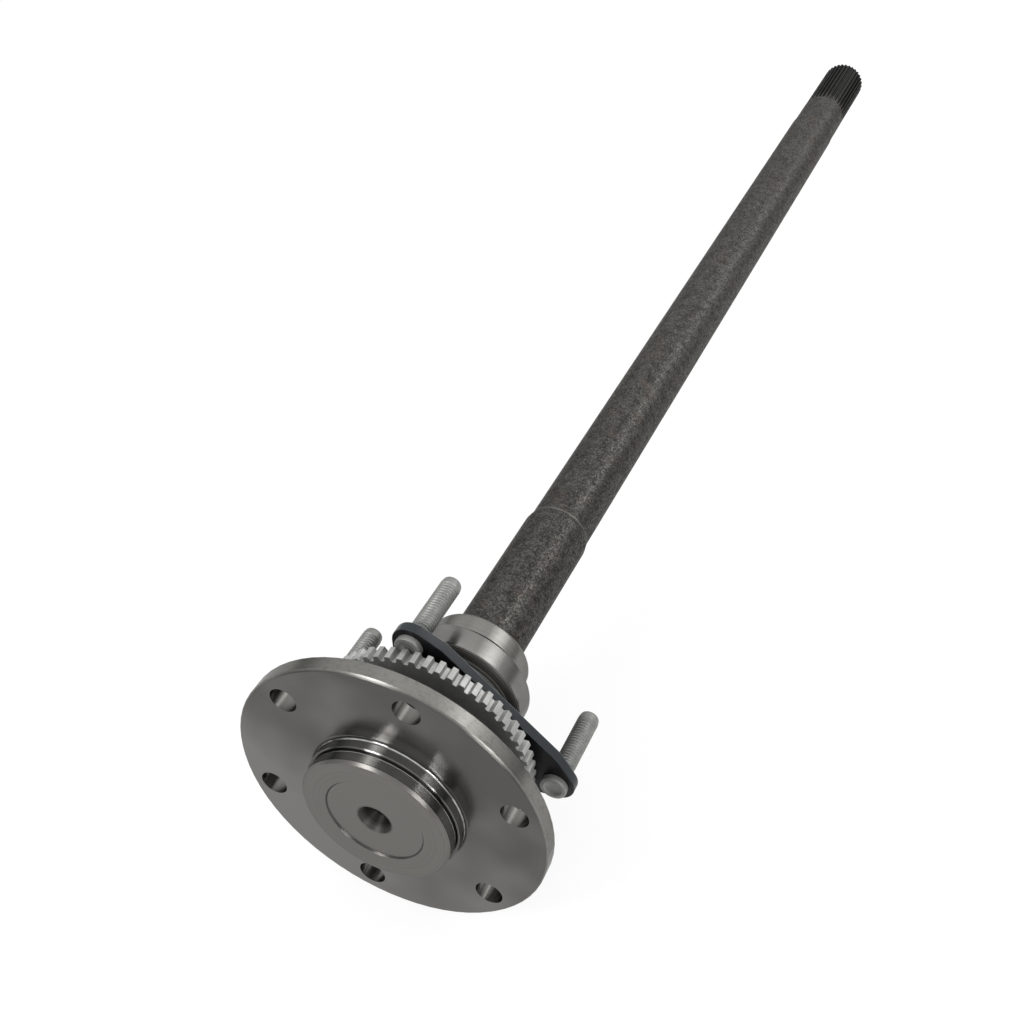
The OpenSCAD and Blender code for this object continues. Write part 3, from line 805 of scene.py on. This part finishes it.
@dataclass(frozen=True)
class Softbox:
    """A flat lamp that faces a point on the axle."""

    name: str
    towards: Place
    aim: Place
    reach: float
    size: Span
    radiance: float

    def hang(self) -> None:
        """Makes the lamp, with the power that gives its face the wanted radiance."""
        data = bpy.data.lights.new(self.name, "AREA")
        data.shape = "RECTANGLE"
        data.size, data.size_y = self.size
        data.energy = self.radiance * math.pi * self.size[0] * self.size[1]
        lamp = bpy.data.objects.new(self.name, data)
        bpy.context.scene.collection.objects.link(lamp)
        back = Vector(self.towards).normalized()
        lamp.location = Vector(self.aim) + back * self.reach
        lamp.rotation_mode = "QUATERNION"
        lamp.rotation_quaternion = (-back).to_track_quat("-Z", "Y")
        lamp.visible_camera = False


@dataclass
class Studio:
    """White table, a surround that is pale overhead and dark at the horizon, and softboxes."""

    floor_centre: Place = (0.0, 0.4, FLOOR_Z)
    floor_radius: float = 30.0
    floor_corners: int = 96
    horizon: float = 0.3
    zenith: float = 1.05
    haze: Span = (-0.02, 0.42)
    boxes: tuple[Softbox, ...] = (
        Softbox("back_right_box", towards=(0.450, 0.69, 0.562), aim=(0.0, 0.10, 0.0), reach=1.6, size=(0.66, 0.75),
                radiance=2.8),
        Softbox("overhead_box", towards=(-0.05, 0.60, 0.80), aim=(0.0, 0.25, 0.0), reach=1.7, size=(1.3, 1.3),
                radiance=0.2),
        Softbox("front_left_box", towards=(-0.392, -0.69, 0.604), aim=(0.0, 0.0, 0.0), reach=1.5, size=(0.38, 0.60),
                radiance=15.0),
        Softbox("front_right_box", towards=(0.630, -0.69, 0.349), aim=(0.0, 0.0, 0.0), reach=1.5, size=(0.13, 0.60),
                radiance=30.0),
    )

    def build(self) -> None:
        """Makes the floor, the world and the lamps."""
        bm = bmesh.new()
        bmesh.ops.create_circle(bm, cap_ends=True, segments=self.floor_corners, radius=self.floor_radius,
                                matrix=Matrix.Translation(self.floor_centre))
        floor = finished(bm, "table")
        StudioFloor("matt_white_table").dress(floor)
        self.surround()
        for box in self.boxes:
            box.hang()

    def surround(self) -> None:
        """Makes the world, whose dark horizon gives the steel something to mirror."""
        world = bpy.data.worlds.new("surround")
        world.use_nodes = True
        bpy.context.scene.world = world
        tree = world.node_tree
        tree.nodes.clear()
        up = add(tree, "SeparateXYZ", {0: add(tree, "TexCoord").outputs["Generated"]}).outputs["Z"]
        level = add(tree, "MapRange", {"Value": up, "From Min": self.haze[0], "From Max": self.haze[1],
                                       "To Min": self.horizon, "To Max": self.zenith},
                    interpolation_type="SMOOTHSTEP")
        sky = add(tree, "Background", {"Color": linear("#ffffff"), "Strength": level})
        add(tree, "OutputWorld", {"Surface": sky})


@dataclass
class AxleShaft:
    """The forged shaft with its flange, stepped pilot, seats and spline."""

    node: str = "axle_shaft"

    def dress(self) -> None:
        """Gives the shaft its zones of turned, ground and forged steel."""
        AxleForging("forged_carbon_steel").dress(frame["nodes"][self.node])
        log.info("%s dressed", self.node)


@dataclass
class SensorRing:
    """The sintered ring whose teeth pass the wheel speed sensor."""

    node: str = "tone_ring"
    edge: float = 0.22 * MM

    def build(self) -> None:
        """Makes the ring with broken edges, riding on the axle."""
        ring = softened(self.node, "sensor_ring", self.edge)
        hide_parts(self.node)
        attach(ring, Body.AXLE.value)
        MattSteel("sintered_steel").dress(ring)
        log.info("%s built", ring.name)


@dataclass
class Retainer:
    """The loose plate and the four bolts pressed into it."""

    plate: str = "retainer_plate"
    bolts: str = "retainer_bolts"
    stud: str = "retainer_stud"
    edge: float = 0.45 * MM
    # Places along the axle, from the bolts' heads to their tips.
    head_front: float = 44.2 * MM
    plate_front: float = 47.7 * MM
    plate_back: float = 53.4 * MM
    neck_end: float = 54.6 * MM
    thread_end: float = 91.0 * MM
    round_start: float = 92.6 * MM
    tip: float = 94.8 * MM
    # The head is dished and its corners are rounded.
    head_radius: float = 7.1 * MM
    head_round: float = 0.7 * MM
    head_chamfer: float = 0.25 * MM
    head_steps: int = 4
    dish_radius: float = 4.7 * MM
    dish_floor: float = 3.854 * MM
    dish_depth: float = 0.7 * MM
    lip_width: float = 0.15 * MM
    lip_depth: float = 0.12 * MM
    press_radius: float = 5.8 * MM
    tip_radius: float = 5.2 * MM
    tip_steps: int = 6
    # The tooth's points are shares of the pitch: the root's flat, the flank and the crest's flat.
    crest: float = 5.5 * MM
    root: float = 4.75 * MM
    tooth: tuple[float, float, float, float] = (0.0, 0.25, 0.56, 0.69)
    pitch: float = 1.81 * MM
    runout: float = 2.5 * MM
    steps: int = 40

    def build(self) -> None:
        """Makes the plate with broken edges and the bolts with their thread."""
        plate = softened(self.plate, "hanging_plate", self.edge)
        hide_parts(self.plate)
        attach(plate, Body.RETAINER.value)
        DipCoat("black_dip_coat").dress(plate)
        log.info("%s built", plate.name)
        bolts = self.rolled_bolts()
        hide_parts(self.bolts)
        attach(bolts, Body.RETAINER.value)
        MattSteel("zinc_flake", pale="#898a87", dull="#737471", roughness=0.48, metallic=0.5, grain_mm=0.35,
                  patch_mm=6.0, depth_mm=0.0015).dress(bolts)
        log.info("%s built", bolts.name)

    def rolled_bolts(self) -> bpy.types.Object:
        """Makes one bolt and copies it to the four places that the record's mounts give.

        Returns:
            One piece with the four bolts.
        """
        bm = bmesh.new()
        self.turn(bm, self.thread_profile(), Vector((0.0, self.pitch / self.steps, 0.0)))
        self.trim_thread(bm)
        self.turn(bm, self.head_profile(), Vector())
        self.turn(bm, self.tip_profile(), Vector())
        bmesh.ops.remove_doubles(bm, verts=bm.verts, dist=5 * MERGE)
        bmesh.ops.dissolve_degenerate(bm, edges=bm.edges, dist=MERGE)
        bmesh.ops.recalc_face_normals(bm, faces=bm.faces)
        first = bm.verts[:] + bm.edges[:] + bm.faces[:]
        places = [Vector(m["pos_m"]) for m in frame["record"]["mounts"] if m["name"].startswith(self.stud)]
        for place in places[1:]:
            copy = bmesh.ops.duplicate(bm, geom=first)["geom"]
            verts = [v for v in copy if isinstance(v, bmesh.types.BMVert)]
            bmesh.ops.translate(bm, verts=verts, vec=(place.x, 0.0, place.z))
        original = [v for v in first if isinstance(v, bmesh.types.BMVert)]
        bmesh.ops.translate(bm, verts=original, vec=(places[0].x, 0.0, places[0].z))
        return finished(bm, "rolled_bolts", crease_deg=35.0)

    def turn(self, bm: bmesh.types.BMesh, profile: Profile, rise: Vector) -> None:
        """Turns a profile about the Y axis, and lifts each step where it winds a thread.

        Args:
            bm: The bmesh that takes the surface.
            profile: Points of radius and length along the bolt.
            rise: The move along the axis at each step.
        """
        verts = [bm.verts.new((radius, along, 0.0)) for radius, along in profile]
        edges = [bm.edges.new(pair) for pair in zip(verts, verts[1:])]
        bmesh.ops.spin(bm, geom=verts + edges, cent=(0.0, 0.0, 0.0), axis=(0.0, 1.0, 0.0), dvec=rise,
                       angle=math.tau, steps=self.steps, use_merge=rise.length == 0.0, use_duplicate=False)

    def head_profile(self) -> Profile:
        """Gives the dished head, the pressed shoulder and the neck.

        Returns:
            Points of radius and length along the bolt.
        """
        front, back, soft = self.head_front, self.plate_front, self.head_round
        points = [(0.0, front + self.dish_depth), (self.dish_floor, front + self.dish_depth),
                  (self.dish_radius, front + self.lip_depth), (self.dish_radius + self.lip_width, front)]
        for i in range(self.head_steps + 1):
            turn = math.radians(90 * i / self.head_steps)
            points.append((self.head_radius - soft + soft * math.sin(turn), front + soft - soft * math.cos(turn)))
        points += [(self.head_radius, back - self.head_chamfer), (self.head_radius - self.head_chamfer, back),
                   (self.press_radius, back), (self.press_radius, self.plate_back), (self.crest, self.neck_end)]
        return points

    def tip_profile(self) -> Profile:
        """Gives the smooth rounded tip.

        Returns:
            Points of radius and length along the bolt.
        """
        start, soft = self.round_start, self.tip - self.round_start
        points = [(self.crest, self.thread_end), (self.tip_radius, start)]
        for i in range(1, self.tip_steps + 1):
            turn = math.radians(90 * i / self.tip_steps)
            points.append((self.tip_radius - soft + soft * math.cos(turn), start + soft * math.sin(turn)))
        return points + [(0.0, self.tip)]

    def thread_profile(self) -> Profile:
        """Gives the thread's section, a pitch or two longer than the thread at both ends.

        Returns:
            Points of radius and length along the bolt.
        """
        turns = math.ceil((self.thread_end - self.neck_end) / self.pitch)
        tooth = tuple(zip((self.root, self.root, self.crest, self.crest), self.tooth))
        return [(radius, self.neck_end + (i + share) * self.pitch)
                for i in range(-2, turns + 1) for radius, share in tooth]

    def trim_thread(self, bm: bmesh.types.BMesh) -> None:
        """Cuts the thread to length and runs its groove out at the neck and at the tip.

        Args:
            bm: The bmesh with the thread alone.
        """
        for vert in bm.verts:
            radius = math.hypot(vert.co.x, vert.co.z)
            along = min(max(vert.co.y, self.neck_end), self.thread_end)
            room = min(along - self.neck_end, self.thread_end - along) / self.runout
            floor = self.crest - (self.crest - self.root) * min(room, 1.0)
            share = max(radius, floor) / radius
            vert.co = Vector((vert.co.x * share, along, vert.co.z * share))


@dataclass
class ShaftSeal:
    """The ribbed rubber seal and the garter spring behind its lip."""

    body: str = "seal_body"
    spring: str = "seal_spring"
    spring_y: float = 68.0 * MM
    ring_radius: float = 27.25 * MM
    coil_radius: float = 0.62 * MM
    wire_radius: float = 0.18 * MM
    coils: int = 150
    points: int = 8

    def build(self) -> None:
        """Winds the spring and dresses the seal."""
        SealRubber("nitrile_rubber").dress(frame["nodes"][self.body])
        log.info("%s dressed", self.body)
        spring = self.wound_spring()
        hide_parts(self.spring)
        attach(spring, Body.SEAL.value)
        MattSteel("drawn_wire", pale="#a9a8a5", dull="#8a8986", roughness=0.3, metallic=1.0, grain_mm=0.3,
                  patch_mm=3.0, depth_mm=0.004).dress(spring)
        log.info("%s built", spring.name)

    def wound_spring(self) -> bpy.types.Object:
        """Winds a wire round the garter spring's ring, as a curve that is made a mesh.

        Returns:
            The spring as a mesh piece.
        """
        curve = bpy.data.curves.new("garter_wire", "CURVE")
        curve.dimensions = "3D"
        curve.bevel_depth, curve.bevel_resolution = self.wire_radius, 1
        total = self.coils * self.points
        line = curve.splines.new("POLY")
        line.points.add(total - 1)
        line.use_cyclic_u = True
        for i, point in enumerate(line.points):
            round_axle, round_ring = math.tau * i / total, math.tau * i / self.points
            radius = self.ring_radius + self.coil_radius * math.cos(round_ring)
            along = self.spring_y + self.coil_radius * math.sin(round_ring)
            point.co = (radius * math.cos(round_axle), along, radius * math.sin(round_axle), 1.0)
        wire = bpy.data.objects.new("garter_wire", curve)
        bpy.context.scene.collection.objects.link(wire)
        bm = bmesh.new()
        bm.from_mesh(wire.to_mesh())
        bpy.data.objects.remove(wire)
        bpy.data.curves.remove(curve)
        return finished(bm, "garter_coil", crease_deg=70.0)


@dataclass
class TaperBearing:
    """The ground cup and cone with the caged rollers between them."""

    races: tuple[str, ...] = ("bearing_cup", "bearing_cone")
    cage: str = "bearing_cage"
    roller: str = "bearing_roller_"

    def dress(self) -> None:
        """Gives the races, the cage and the rollers their finishes."""
        nodes = frame["nodes"]
        BearingSteel("ground_race_steel").dress(*(nodes[n] for n in self.races))
        MattSteel("phosphated_sheet", pale="#6b6a66", dull="#565552", roughness=0.45, metallic=0.8, grain_mm=0.5,
                  patch_mm=7.0, depth_mm=0.006).dress(nodes[self.cage])
        BearingSteel("honed_roller_steel", pale="#bdbcb9", dull="#adacaa", roughness=0.14).dress(
            *(nodes[n] for n in sorted(nodes) if n.startswith(self.roller)))
        log.info("bearing dressed")


@dataclass
class Collar:
    """The turned ring pressed on behind the bearing."""

    node: str = "retaining_collar"

    def dress(self) -> None:
        """Gives the collar its turned finish."""
        BearingSteel("turned_collar_steel", pale="#858480", dull="#797874", roughness=0.27, groove_mm=0.6,
                     smudge_mm=20.0, depth_mm=0.0025).dress(frame["nodes"][self.node])
        log.info("%s dressed", self.node)


def main() -> None:
    """Builds the view, the studio and the axle's sub-assemblies in order."""
    logging.basicConfig(level=logging.INFO)
    bpy.context.scene.view_settings.view_transform = "Standard"
    Camera().build()
    Studio().build()
    AxleShaft().dress()
    SensorRing().build()
    Retainer().build()
    ShaftSeal().build()
    TaperBearing().dress()
    Collar().dress()


if __name__ == "__main__":
    main()
